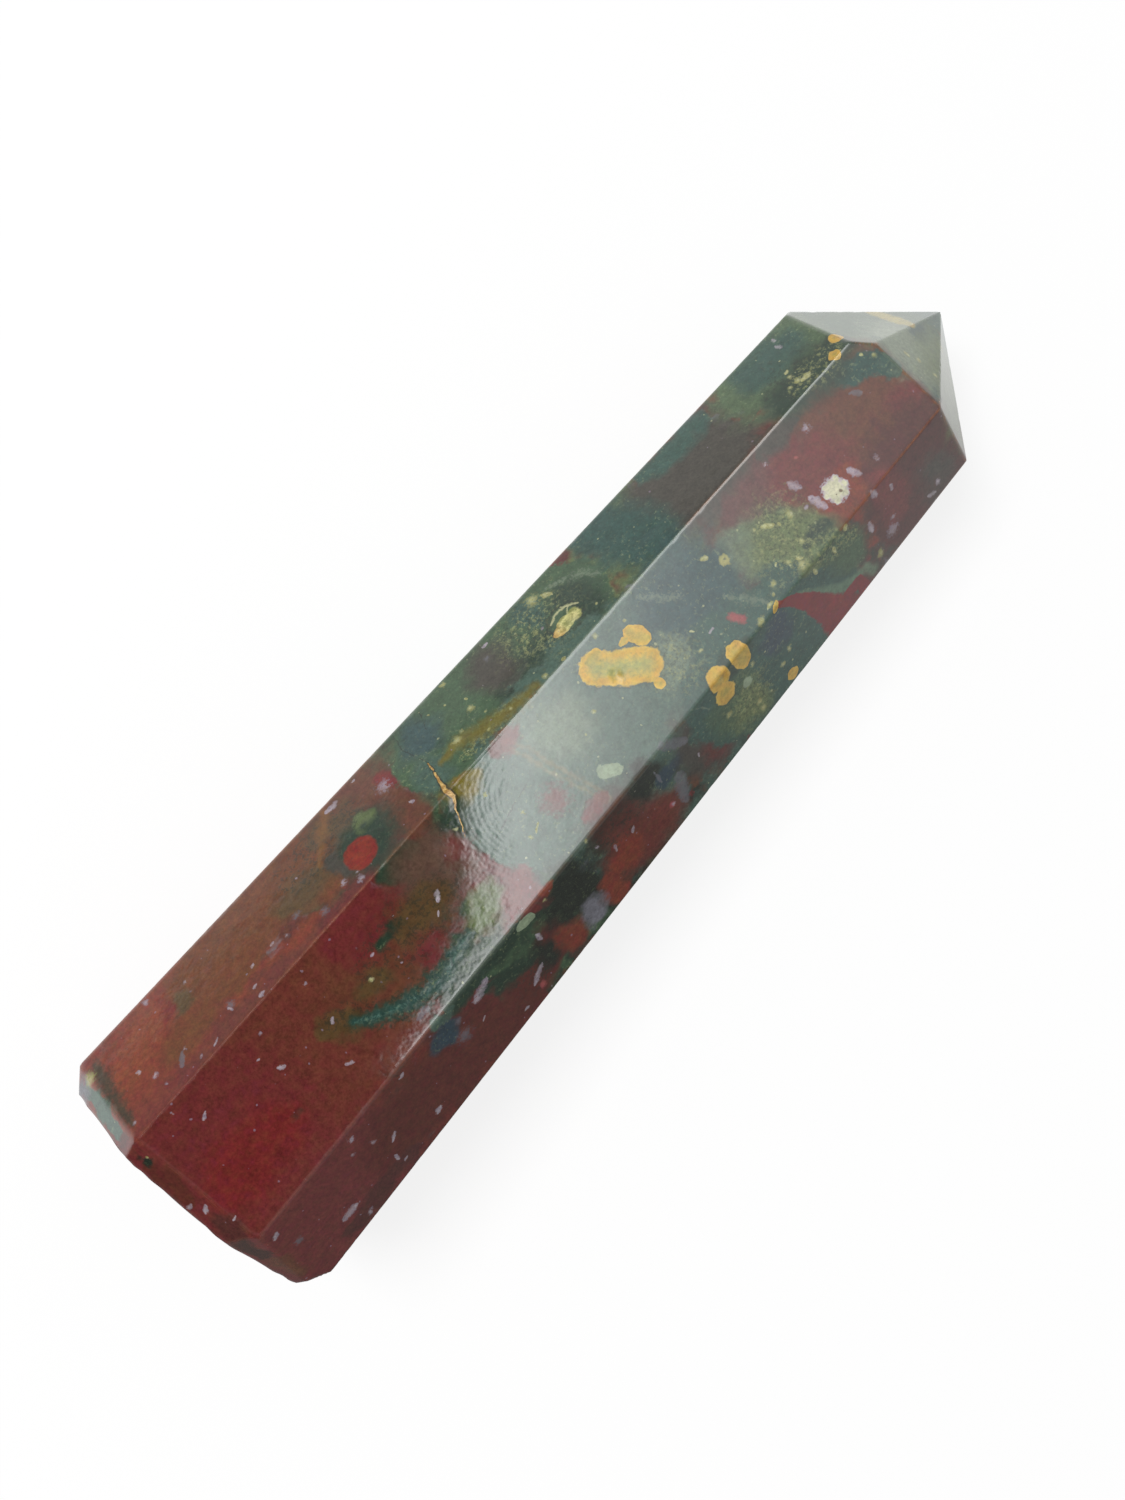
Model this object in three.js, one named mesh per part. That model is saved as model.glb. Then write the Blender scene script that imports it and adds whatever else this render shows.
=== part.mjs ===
// A bloodstone obelisk: one solid piece of polished stone, lying on one of its side flats.
// A rough block is sawn, ground flat by flat on a wheel and then polished, so the shape is
// what is left inside a set of ground flats: eight long tapering sides, eight flats that run
// up to the point, a narrow bevel of eight flats round the foot, and the flat foot itself.
// Each flat is a plane, and no two are ground quite alike, as on any stone cut by hand.
//
// Frame, in millimetres: +X runs along the stone towards the point, +Z is up and the stone
// rests on z = 0. The origin is the middle of the bottom of the box that bounds the stone.

import * as THREE from 'three';
import { ConvexGeometry } from 'three/addons/geometries/ConvexGeometry.js';

// Driving dimensions, in millimetres
const SIDES = 8;
const LENGTH = 80;          // from the foot to the point, along the axis
const BEVEL_HEIGHT = 1.9;   // length of the bevel round the foot
const FOOT_WIDTH = 21.6;    // across two opposite sides, where they meet the bevel
const SHOULDER_WIDTH = 16.2; // across two opposite sides, where they meet the point's flats
const POINT_HEIGHT = 8.5;   // from the shoulder to the point

// Angles, in degrees
const POINT_LEAN = 43.6;    // how far the point's flats face towards the point
const BEVEL_LEAN = -38.3;   // how far the bevel's flats face towards the foot
const FOOT_SKEW = 0.7;      // how far the foot is out of square, towards the +Y side

// How each flat departs from the regular one, as ground by hand. Flats are counted from the
// top one, which faces away from the resting side, and on towards the +Y side. turn and lean
// are in degrees, and cut is how much further out than the regular flat it lies, in millimetres.
const SIDE_FLATS = [
  { turn: 0.5, lean: 0.1, cut: -0.21 },
  { turn: 0.5, lean: 0.0, cut: 0.05 },
  { turn: -0.4, lean: -0.2, cut: -0.15 },
  { turn: -0.5, lean: 0.1, cut: 0.08 },
  { turn: 0.0, lean: 0.0, cut: 0.0 },
  { turn: 0.7, lean: -0.1, cut: -0.1 },
  { turn: 0.4, lean: 0.0, cut: -0.06 },
  { turn: -1.3, lean: 0.1, cut: 0.11 },
];
const POINT_FLATS = [
  { turn: -1.3, lean: 0.3, cut: 0 },
  { turn: 0.2, lean: -1.6, cut: 0 },
  { turn: 1.2, lean: 0.3, cut: 0 },
  { turn: -0.8, lean: 0.9, cut: 0 },
  { turn: 0.9, lean: -0.7, cut: 0 },
  { turn: -0.6, lean: 0.4, cut: 0 },
  { turn: 0.8, lean: 1.4, cut: 0 },
  { turn: 0.2, lean: 1.1, cut: 0 },
];
const BEVEL_FLATS = [
  { turn: 0.2, lean: 2.1, cut: -0.02 },
  { turn: 0.9, lean: 3.7, cut: 0.27 },
  { turn: 0.0, lean: 0.0, cut: 0.0 },
  { turn: -1.2, lean: 0.8, cut: 0.1 },
  { turn: 0.8, lean: -0.6, cut: -0.05 },
  { turn: -0.7, lean: 0.9, cut: 0.08 },
  { turn: 1.4, lean: 2.3, cut: 0.04 },
  { turn: 8.4, lean: -4.8, cut: 0.7 },
];

// A point that lies outside a flat by less than this, in millimetres, still lies on it
const ON_FLAT = 1e-6;

const BODY_LENGTH = LENGTH - BEVEL_HEIGHT - POINT_HEIGHT;
const FOOT_RADIUS = FOOT_WIDTH / 2;
const SHOULDER_RADIUS = SHOULDER_WIDTH / 2;
const TAPER = THREE.MathUtils.radToDeg(Math.atan((FOOT_RADIUS - SHOULDER_RADIUS) / BODY_LENGTH));
const POINT_AT = BODY_LENGTH + POINT_HEIGHT;

// While it is shaped, the stone's axis is the X axis, with x = 0 where the sides meet the
// bevel, and the top flat faces +Z. A flat's plane goes through a point at a distance from
// the axis, and faces outwards by its turn round the axis and its lean along it.
function groundFlat(along, radius, turn, lean) {
  const turned = THREE.MathUtils.degToRad(turn);
  const leaned = THREE.MathUtils.degToRad(lean);
  const outwards = new THREE.Vector3(0, Math.sin(turned), Math.cos(turned));
  const normal = outwards.clone().multiplyScalar(Math.cos(leaned));
  normal.x = Math.sin(leaned);
  const place = outwards.multiplyScalar(radius);
  place.x = along;
  return new THREE.Plane().setFromNormalAndCoplanarPoint(normal, place);
}

function ringOfFlats(flats, along, radius, lean) {
  return flats.map((flat, index) =>
    groundFlat(along, radius + flat.cut, index * 360 / SIDES + flat.turn, lean + flat.lean));
}

function footFlat() {
  const skew = THREE.MathUtils.degToRad(FOOT_SKEW);
  const normal = new THREE.Vector3(-Math.cos(skew), Math.sin(skew), 0);
  return new THREE.Plane().setFromNormalAndCoplanarPoint(normal, new THREE.Vector3(-BEVEL_HEIGHT, 0, 0));
}

// The point where three planes cross, or null where they don't meet in one point
function crossing(a, b, c) {
  const bc = new THREE.Vector3().crossVectors(b.normal, c.normal);
  const ca = new THREE.Vector3().crossVectors(c.normal, a.normal);
  const ab = new THREE.Vector3().crossVectors(a.normal, b.normal);
  const volume = a.normal.dot(bc);
  if (Math.abs(volume) < ON_FLAT) return null;
  const sum = bc.multiplyScalar(a.constant);
  sum.addScaledVector(ca, b.constant);
  sum.addScaledVector(ab, c.constant);
  return sum.multiplyScalar(-1 / volume);
}

// The stone's corners: where three flats cross and no other flat has ground the place away
function cornersOf(flats) {
  const corners = [];
  for (let i = 0; i < flats.length; i++) {
    for (let j = i + 1; j < flats.length; j++) {
      for (let k = j + 1; k < flats.length; k++) {
        const corner = crossing(flats[i], flats[j], flats[k]);
        if (!corner) continue;
        const kept = flats.every((flat) => flat.distanceToPoint(corner) < ON_FLAT);
        const fresh = corners.every((other) => other.distanceTo(corner) > 10 * ON_FLAT);
        if (kept && fresh) corners.push(corner);
      }
    }
  }
  return corners;
}

function buildObelisk() {
  const flats = [
    ...ringOfFlats(SIDE_FLATS, 0, FOOT_RADIUS, TAPER),
    ...ringOfFlats(POINT_FLATS, POINT_AT, 0, POINT_LEAN),
    ...ringOfFlats(BEVEL_FLATS, 0, FOOT_RADIUS, BEVEL_LEAN),
    footFlat(),
  ];
  const stone = new THREE.MeshStandardMaterial({ color: 0x4b4f41, roughness: 0.12, metalness: 0 });
  const obelisk = new THREE.Mesh(new ConvexGeometry(cornersOf(flats)), stone);
  obelisk.name = 'obelisk';
  return obelisk;
}

// The stone lies on the side flat opposite the top one, so its axis dips by the taper
function layDown(obelisk) {
  obelisk.rotation.y = THREE.MathUtils.degToRad(TAPER);
  obelisk.updateMatrixWorld(true);
  const box = new THREE.Box3().setFromObject(obelisk, true);
  const middle = box.getCenter(new THREE.Vector3());
  obelisk.position.set(-middle.x, -middle.y, -box.min.z);
}

const obelisk = buildObelisk();
layDown(obelisk);

const group = new THREE.Group();
group.add(obelisk);

export default group;
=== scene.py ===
from math import cos, pi, radians, sin, sqrt

import bmesh
import bpy
from mathutils import Matrix, Vector


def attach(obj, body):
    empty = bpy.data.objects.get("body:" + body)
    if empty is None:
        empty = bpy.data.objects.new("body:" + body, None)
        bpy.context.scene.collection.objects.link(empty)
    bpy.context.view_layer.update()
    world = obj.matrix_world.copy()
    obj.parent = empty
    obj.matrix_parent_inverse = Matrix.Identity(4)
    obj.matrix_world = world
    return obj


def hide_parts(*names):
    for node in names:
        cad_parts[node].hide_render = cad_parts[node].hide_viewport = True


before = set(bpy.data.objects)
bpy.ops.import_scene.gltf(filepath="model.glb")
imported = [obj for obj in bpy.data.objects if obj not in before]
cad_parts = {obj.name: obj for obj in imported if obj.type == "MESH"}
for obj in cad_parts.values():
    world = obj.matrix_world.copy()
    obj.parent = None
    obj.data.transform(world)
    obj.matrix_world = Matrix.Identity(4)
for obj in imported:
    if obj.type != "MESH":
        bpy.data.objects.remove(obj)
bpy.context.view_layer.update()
scene = bpy.context.scene
scene.view_settings.view_transform = "Standard"


# The camera hangs almost straight above the stone, a hand's width from it, and is turned
# so that the stone lies slantwise with its point at the top right of the picture.
def new_object(name, data):
    made = bpy.data.objects.new(name, data)
    scene.collection.objects.link(made)
    return made


camera_place = Vector((-0.00818, 0.00845, 0.13648))
camera_target = Vector((-0.00214, 0.00080, 0.02150))
picture_turn = radians(41.1)
camera_data = bpy.data.cameras.new("camera")
camera_data.lens = 43.94
camera_data.sensor_width = 36
camera_data.clip_start = 0.01
camera = new_object("camera", camera_data)
look = (camera_target - camera_place).normalized()
picture_up = Vector((cos(picture_turn), sin(picture_turn), 0))
picture_right = look.cross(picture_up).normalized()
picture_up = picture_right.cross(look)
turned = Matrix((picture_right, picture_up, -look)).transposed().to_4x4()
camera.matrix_world = Matrix.Translation(camera_place) @ turned
scene.camera = camera


# The stone is one piece of bloodstone, a jasper, sawn from the rough, ground flat by flat on
# a wheel and polished. Its flats are those of the CAD piece, with the edges between them
# eased by the polishing, faint waves in the polish, small nicks along the edges, and pits.
def add(tree, kind, feeds=(), **settings):
    """One node. Each feed is a socket and the value that it holds or the output it is joined to."""
    made = tree.nodes.new(kind)
    for name, value in settings.items():
        setattr(made, name, value)
    for socket, value in feeds:
        if isinstance(value, bpy.types.NodeSocket):
            tree.links.new(value, made.inputs[socket])
        else:
            made.inputs[socket].default_value = value
    return made


def tree_of(values):
    """The node tree of the first output among these values."""
    return next(value.id_data for value in values if isinstance(value, bpy.types.NodeSocket))


def number(operation, *values):
    made = add(tree_of(values), "ShaderNodeMath", enumerate(values), operation=operation)
    return made.outputs[0]


def times(first, second):
    return number("MULTIPLY", first, second)


def vector(operation, *values):
    made = add(tree_of(values), "ShaderNodeVectorMath", enumerate(values), operation=operation)
    gives_number = operation in ("DOT_PRODUCT", "DISTANCE")
    return made.outputs["Value" if gives_number else "Vector"]


def scaled(value, amount):
    feeds = [(0, value), ("Scale", amount)]
    made = add(tree_of((value, amount)), "ShaderNodeVectorMath", feeds, operation="SCALE")
    return made.outputs["Vector"]


def noise(place, scale, detail=2.0, roughness=0.5):
    feeds = [("Vector", place), ("Scale", scale), ("Detail", detail), ("Roughness", roughness)]
    return add(place.id_data, "ShaderNodeTexNoise", feeds).outputs


def ranged(value, low, high, to_low=0.0, to_high=1.0, smooth=False):
    feeds = [("Value", value), ("From Min", low), ("From Max", high),
             ("To Min", to_low), ("To Max", to_high)]
    way = "SMOOTHSTEP" if smooth else "LINEAR"
    made = add(value.id_data, "ShaderNodeMapRange", feeds, interpolation_type=way)
    return made.outputs["Result"]


def new_group(name, kind, takes, gives):
    tree = bpy.data.node_groups.new(name, kind)
    for side, sockets in (("INPUT", takes), ("OUTPUT", gives)):
        for words, form in sockets:
            tree.interface.new_socket(words, in_out=side, socket_type="NodeSocket" + form)
    taken = add(tree, "NodeGroupInput").outputs
    given = add(tree, "NodeGroupOutput").inputs
    return tree, taken, given


def empty_tree(owner):
    """The node tree of a material or a world, with nothing in it."""
    owner.use_nodes = True
    owner.node_tree.nodes.clear()
    return owner.node_tree


axis_start = Vector((-0.03787, 0.00005, 0.01079))
axis_tilt = radians(2.22)
along_axis = Vector((cos(axis_tilt), 0, -sin(axis_tilt)))
across_axis = Vector((0, 1, 0))
above_axis = Vector((sin(axis_tilt), 0, cos(axis_tilt)))
to_mm = 1000
least_lean = 0.01

ground = bmesh.new()
ground.from_mesh(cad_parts["obelisk"].data)
bmesh.ops.remove_doubles(ground, verts=ground.verts, dist=1e-6)
bmesh.ops.dissolve_limit(ground, angle_limit=radians(1), verts=ground.verts, edges=ground.edges)
flats = [(face.normal.copy(), face.normal.dot(face.calc_center_median())) for face in ground.faces]
ground.free()


def on_stone(along, turn):
    """The place on the surface, in metres, and the way that its flat faces. along is in millimetres
    from the bevel towards the point, and turn in degrees from the top flat towards +Y."""
    start = axis_start + along_axis * along / to_mm
    way = across_axis * sin(radians(turn)) + above_axis * cos(radians(turn))
    met = []
    for facing, distance in flats:
        leaning = facing.dot(way)
        if leaning > least_lean:
            met.append(((distance - facing.dot(start)) / leaning, facing))
    reach, facing = min(met, key=lambda pair: pair[0])
    return start + way * reach, facing


# Each pit is a place along and round the stone, its radius and its depth in millimetres.
pits = [
    (41.6, 7.2, 0.32, 0.16), (60.9, -15.2, 0.12, 0.05), (46.3, -27.5, 0.34, 0.16),
    (42.6, 38.5, 0.3, 0.1), (29.3, -57.0, 0.3, 0.08), (22.8, 121.0, 0.4, 0.15),
    (52.5, -128.0, 0.35, 0.15), (37.0, 168.0, 0.3, 0.12)]

# The healed crack, which steps down across the first ridge, as places along and round the stone
# with its half width there in millimetres. A shallow groove follows all but its thin end.
crack = [
    (29.3, 42.0, 0.05), (29.1, 36.0, 0.09), (28.8, 30.5, 0.12), (28.65, 26.5, 0.2),
    (28.7, 22.5, 0.16), (28.25, 19.5, 0.07), (27.6, 13.5, 0.05), (27.0, 8.5, 0.03)]
groove_points = 6
groove_margin = 0.06
groove_depth = 0.000007

# A smooth minimum takes off at most a sixth of its softness, which is where the edge is most eased.
edge_softness = 0.00009
most_eased = 1 / 6
edge_spread = 0.4
wave_height = 0.000012
waves_per_metre = 260.0
nick_depth = 0.00008
nicks_per_metre = 1400.0

# The blank is a ball. Its first rings go to the point, its last to the foot and the others along
# the sides, and its columns crowd towards the ridges. A ray from the stone's axis carries each
# corner of it out to the flat that it meets first.
side_count = 8
columns = 32 * side_count
rings = 380
point_rings = 72
foot_rings = 75
crowding = 0.66
point_ray_at = 0.066
foot_ray_at = 0.004

# What stands for the nearest mark before the first one of a kind is made
far_off = 9.0

grind, taken, given = new_group(
    "Grind flat", "GeometryNodeTree",
    [("Reach", "Float"), ("Sharp Reach", "Float"), ("Start", "Vector"), ("Way", "Vector"),
     ("Facing", "Vector"), ("Distance", "Float"), ("Softness", "Float")],
    [("Reach", "Float"), ("Sharp Reach", "Float")])
leaning = number("MAXIMUM", vector("DOT_PRODUCT", taken["Facing"], taken["Way"]), least_lean)
covered = vector("DOT_PRODUCT", taken["Facing"], taken["Start"])
gap = number("SUBTRACT", taken["Distance"], covered)
reach_here = number("DIVIDE", gap, leaning)
grind.links.new(number("SMOOTH_MIN", taken["Reach"], reach_here, taken["Softness"]), given["Reach"])
grind.links.new(number("MINIMUM", taken["Sharp Reach"], reach_here), given["Sharp Reach"])

pit, taken, given = new_group(
    "Pit", "GeometryNodeTree",
    [("Depth", "Float"), ("Place", "Vector"), ("Middle", "Vector"), ("Radius", "Float"),
     ("Deep", "Float")],
    [("Depth", "Float")])
share = number("DIVIDE", vector("DISTANCE", taken["Place"], taken["Middle"]), taken["Radius"])
bowl = times(ranged(share, 1.0, 0.3, smooth=True), taken["Deep"])
pit.links.new(number("MAXIMUM", taken["Depth"], bowl), given["Depth"])


def make_streak(kind):
    """How far a place is from a tapering straight streak, as a share of the streak's half width."""
    tree, taken, given = new_group(
        "Streak", kind,
        [("Nearest", "Float"), ("Place", "Vector"), ("Start", "Vector"), ("Run", "Vector"),
         ("Length", "Float"), ("Start Width", "Float"), ("End Width", "Float")],
        [("Nearest", "Float")])
    offset = vector("SUBTRACT", taken["Place"], taken["Start"])
    forward = vector("DOT_PRODUCT", offset, taken["Run"])
    forward = add(tree, "ShaderNodeClamp", [("Value", forward), ("Max", taken["Length"])]).outputs[0]
    width = ranged(forward, 0.0, taken["Length"], taken["Start Width"], taken["End Width"])
    aside = vector("DISTANCE", offset, scaled(taken["Run"], forward))
    share = number("DIVIDE", aside, width)
    tree.links.new(number("MINIMUM", taken["Nearest"], share), given["Nearest"])
    return tree


def streaks(group, place, points, nearest, unit):
    """A line of streaks through places along and round the stone, with its half width there in
    millimetres. unit is the number of the tree's units in a metre."""
    tree = place.id_data
    kind = "ShaderNodeGroup" if tree.bl_idname == "ShaderNodeTree" else "GeometryNodeGroup"
    places = [on_stone(along, turn)[0] * unit for along, turn, _ in points]
    widths = [width * unit / to_mm for *_, width in points]
    for index in range(len(points) - 1):
        start, end = places[index:index + 2]
        start_width, end_width = widths[index:index + 2]
        feeds = [("Nearest", nearest), ("Place", place), ("Start", start),
                 ("Run", (end - start).normalized()), ("Length", (end - start).length),
                 ("Start Width", start_width), ("End Width", end_width)]
        nearest = add(tree, kind, feeds, node_tree=group).outputs[0]
    return nearest


shape, taken, given = new_group(
    "Obelisk", "GeometryNodeTree",
    [("Edge Softness", "Float"), ("Columns", "Int"), ("Rings", "Int"), ("Wave Height", "Float"),
     ("Nick Depth", "Float")],
    [("Geometry", "Geometry")])
feeds = [("Segments", taken["Columns"]), ("Rings", taken["Rings"])]
ball = add(shape, "GeometryNodeMeshUVSphere", feeds)
position = add(shape, "GeometryNodeInputPosition").outputs[0]
part = add(shape, "ShaderNodeSeparateXYZ", [(0, position)]).outputs
down = number("DIVIDE", number("ARCCOSINE", part["Z"]), pi)
point_share = point_rings / rings
foot_share = 1 - foot_rings / rings
turn = number("ARCTAN2", times(part["Y"], -1.0), part["X"])
crowd = number("SINE", times(turn, float(side_count)))
turn = number("MULTIPLY_ADD", crowd, crowding / side_count, turn)
start_at = ranged(down, point_share, foot_share, point_ray_at, foot_ray_at)
lean = number(
    "ADD",
    ranged(down, 0.0, point_share, 0.0, pi / 2),
    ranged(down, foot_share, 1.0, 0.0, pi / 2))
start = vector("ADD", scaled(along_axis, start_at), axis_start)
round_way = vector(
    "ADD",
    scaled(across_axis, number("SINE", turn)),
    scaled(above_axis, number("COSINE", turn)))
way = vector(
    "ADD",
    scaled(along_axis, number("COSINE", lean)),
    scaled(round_way, number("SINE", lean)))
reach = sharp = 1.0
for facing, distance in flats:
    feeds = [("Reach", reach), ("Sharp Reach", sharp), ("Start", start), ("Way", way),
             ("Facing", facing), ("Distance", distance), ("Softness", taken["Edge Softness"])]
    reach, sharp = add(shape, "GeometryNodeGroup", feeds, node_tree=grind).outputs
eased = number("DIVIDE", number("SUBTRACT", sharp, reach), taken["Edge Softness"])
edge = number("POWER", ranged(eased, 0.0, most_eased), edge_spread)
met = vector("ADD", start, scaled(way, reach))
wave = number("SUBTRACT", noise(met, waves_per_metre, 1.0)["Fac"], 0.5)
wave = times(wave, taken["Wave Height"])
nick = ranged(noise(met, nicks_per_metre, 2.0)["Fac"], 0.6, 0.72)
nick = times(times(nick, edge), taken["Nick Depth"])
depth = 0.0
for along, turned, radius, deep in pits:
    feeds = [("Depth", depth), ("Place", met), ("Middle", on_stone(along, turned)[0]),
             ("Radius", radius / to_mm), ("Deep", deep / to_mm)]
    depth = add(shape, "GeometryNodeGroup", feeds, node_tree=pit).outputs[0]
groove = [(along, turned, width + groove_margin) for along, turned, width in crack[:groove_points]]
groove = streaks(make_streak("GeometryNodeTree"), met, groove, far_off, 1)
groove = times(ranged(groove, 1.0, 0.2, smooth=True), groove_depth)
depth = number("ADD", depth, groove)
depth = number("ADD", depth, nick)
reach = number("SUBTRACT", number("ADD", reach, wave), depth)
met = vector("ADD", start, scaled(way, reach))
stored = add(
    shape, "GeometryNodeStoreNamedAttribute",
    [("Geometry", ball.outputs["Mesh"]), ("Name", "edge"), ("Value", edge)],
    data_type="FLOAT", domain="POINT")
placed = add(shape, "GeometryNodeSetPosition", [("Geometry", stored.outputs[0]), ("Position", met)])
rounded = add(shape, "GeometryNodeSetShadeSmooth", [("Geometry", placed.outputs[0])])
whole = add(shape, "GeometryNodeRealizeInstances", [("Geometry", rounded.outputs[0])])
bloodstone = bpy.data.materials.new("polished_bloodstone")
feeds = [("Geometry", whole.outputs[0]), ("Material", bloodstone)]
finished = add(shape, "GeometryNodeSetMaterial", feeds)
shape.links.new(finished.outputs[0], given["Geometry"])

blank = new_object("stone_blank", bpy.data.meshes.new("stone_blank"))
grinding = blank.modifiers.new("grinding", "NODES")
grinding.node_group = shape
sizes = {"Edge Softness": edge_softness, "Columns": columns, "Rings": rings,
         "Wave Height": wave_height, "Nick Depth": nick_depth}
for item in shape.interface.items_tree:
    if item.item_type == "SOCKET" and item.in_out == "INPUT":
        grinding[item.identifier] = sizes[item.name]
graph = bpy.context.evaluated_depsgraph_get()
ground_mesh = bpy.data.meshes.new_from_object(
    blank.evaluated_get(graph), preserve_all_data_layers=True, depsgraph=graph)
ground_mesh.materials.clear()
ground_mesh.materials.append(bloodstone)
bpy.data.objects.remove(blank)
stone = new_object("stone", ground_mesh)


def paint(red, green, blue):
    """A colour as the eye sees it, from 0 to 255, turned into the amounts that Blender mixes."""
    amounts = []
    for value in (red, green, blue):
        share = value / 255
        amounts.append(share / 12.92 if share <= 0.04045 else ((share + 0.055) / 1.055) ** 2.4)
    return (*amounts, 1)


crimson = paint(107, 43, 43)
bright_crimson = paint(114, 38, 38)
brick = paint(122, 54, 38)
orange_brick = paint(130, 62, 40)
umber = paint(108, 60, 34)
maroon = paint(84, 44, 40)
rose_maroon = paint(108, 48, 46)
ash_rose = paint(96, 60, 57)
brick_brown = paint(104, 51, 42)
taupe = paint(92, 68, 56)
red_brown = paint(92, 42, 35)
dark_brown = paint(70, 44, 36)
brown = paint(100, 58, 42)
olive_brown = paint(90, 68, 42)
dark_green = paint(40, 60, 46)
black_green = paint(36, 42, 34)
green = paint(66, 90, 64)
leaf_green = paint(80, 100, 70)
grey_green = paint(70, 94, 82)
teal_green = paint(52, 82, 72)
deep_teal = paint(44, 76, 68)
slate = paint(50, 76, 76)
navy = paint(48, 66, 76)
moss = paint(92, 106, 66)
moss_grey = paint(102, 118, 99)
point_green = paint(120, 132, 108)
mustard = paint(114, 102, 34)
teal = paint(40, 76, 70)
pale_teal = paint(88, 128, 118)
pale_green = paint(100, 126, 100)
grey_brown = paint(68, 64, 56)
grey_lavender = paint(112, 112, 120)
rose = paint(150, 74, 74)
blood_red = paint(128, 36, 25)
ochre = paint(204, 162, 70)
cream = paint(198, 196, 148)
lilac = paint(150, 134, 152)
white = paint(198, 194, 196)

tree = empty_tree(bloodstone)


def oval_feeds(along, turn, length, width, tilt=0):
    """Feeds for an oval mark of this half length and half width in millimetres, tilted so many
    degrees from the stone's length. Its two focal points give it its shape."""
    if width > length:
        length, width, tilt = width, length, tilt + 90
    place, facing = on_stone(along, turn)
    lengthwise = (along_axis - facing * along_axis.dot(facing)).normalized()
    crosswise = facing.cross(lengthwise)
    lengthwise = lengthwise * cos(radians(tilt)) + crosswise * sin(radians(tilt))
    focus = sqrt(length ** 2 - width ** 2)
    growth = 0.5 / (length - focus)
    first = place * to_mm + lengthwise * focus
    second = place * to_mm - lengthwise * focus
    return [("First Focus", first), ("Second Focus", second),
            ("Growth", growth), ("Offset", -2 * focus * growth)]


def blend(amount, under, over):
    made = add(amount.id_data, "ShaderNodeMix", data_type="RGBA")
    for socket, value in (("Factor_Float", amount), ("A_Color", under), ("B_Color", over)):
        socket = next(one for one in made.inputs if one.identifier == socket)
        if isinstance(value, bpy.types.NodeSocket):
            amount.id_data.links.new(value, socket)
        else:
            socket.default_value = value
    return next(one for one in made.outputs if one.identifier == "Result_Color")


def oval_share(taken):
    """How far out a place is in an oval: 0 between its focal points and 1 on its rim."""
    first = vector("DISTANCE", taken["Place"], taken["First Focus"])
    second = vector("DISTANCE", taken["Place"], taken["Second Focus"])
    away = number("ADD", first, second)
    return number("MULTIPLY_ADD", away, taken["Growth"], taken["Offset"])


oval_sockets = [("Place", "Vector"), ("First Focus", "Vector"), ("Second Focus", "Vector"),
                ("Growth", "Float"), ("Offset", "Float")]
zone, taken, given = new_group(
    "Zone", "ShaderNodeTree",
    [("Colour", "Color"), ("Fray", "Float"), ("Fray Depth", "Float"), ("Softness", "Float"),
     ("New Colour", "Color")] + oval_sockets,
    [("Colour", "Color")])
share = number("MULTIPLY_ADD", taken["Fray"], taken["Fray Depth"], oval_share(taken))
inner = number("SUBTRACT", 1.0, taken["Softness"])
outer = number("ADD", 1.0, taken["Softness"])
share = ranged(share, inner, outer, 1.0, 0.0, smooth=True)
zone.links.new(blend(share, taken["Colour"], taken["New Colour"]), given["Colour"])

blot, taken, given = new_group(
    "Blot", "ShaderNodeTree", [("Nearest", "Float")] + oval_sockets, [("Nearest", "Float")])
share = oval_share(taken)
blot.links.new(number("MINIMUM", taken["Nearest"], share), given["Nearest"])

dot, taken, given = new_group(
    "Dot", "ShaderNodeTree",
    [("Nearest", "Float"), ("Place", "Vector"), ("Middle", "Vector"), ("Radius", "Float")],
    [("Nearest", "Float")])
share = number("DIVIDE", vector("DISTANCE", taken["Place"], taken["Middle"]), taken["Radius"])
dot.links.new(number("MINIMUM", taken["Nearest"], share), given["Nearest"])

vein = make_streak("ShaderNodeTree")


def warped(place, scale, amount, detail):
    shift = vector("SUBTRACT", noise(place, scale, detail)["Color"], (0.5, 0.5, 0.5))
    return vector("ADD", place, scaled(shift, amount))


spot = scaled(add(tree, "ShaderNodeTexCoord").outputs["Object"], to_mm)
zone_spot = warped(spot, 0.45, 2.4, 3.0)
mark_spot = warped(spot, 1.8, 0.34, 3.0)
fine_fray = number("SUBTRACT", noise(spot, 2.2, 3.0, 0.65)["Fac"], 0.5)
wide_fray = number("SUBTRACT", noise(spot, 0.8, 4.0, 0.68)["Fac"], 0.5)
grit = number("SUBTRACT", noise(spot, 4.4, 2.0, 0.7)["Fac"], 0.5)
zone_fray = 0.9
thin_zone_fray = 1.6
zone_softening = 1.7
softest = 0.95
roundest = (0.64, 1.56)


def after(begun, place):
    """The same place, given only once what was begun is done, so that Blender works through the
    kinds of marks one after another and doesn't run out of room for them."""
    return vector("MULTIPLY_ADD", begun, (0.0, 0.0, 0.0), place)


def zones(colour, marks):
    """Patches of colour, each a place along and round the stone, a half length, a half width, a
    colour, how soft its edge is and, where it is tilted, by how many degrees. The thin ones fray
    most."""
    place = after(colour, zone_spot)
    for along, turn, length, width, shade, soft, *tilt in marks:
        feeds = [("Colour", colour), ("Place", place), ("Fray", wide_fray), ("New Colour", shade),
                 ("Fray Depth", zone_fray + thin_zone_fray / width),
                 ("Softness", min(softest, soft * zone_softening))]
        feeds += oval_feeds(along, turn, length, width, *tilt)
        colour = add(tree, "ShaderNodeGroup", feeds, node_tree=zone).outputs[0]
    return colour


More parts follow.
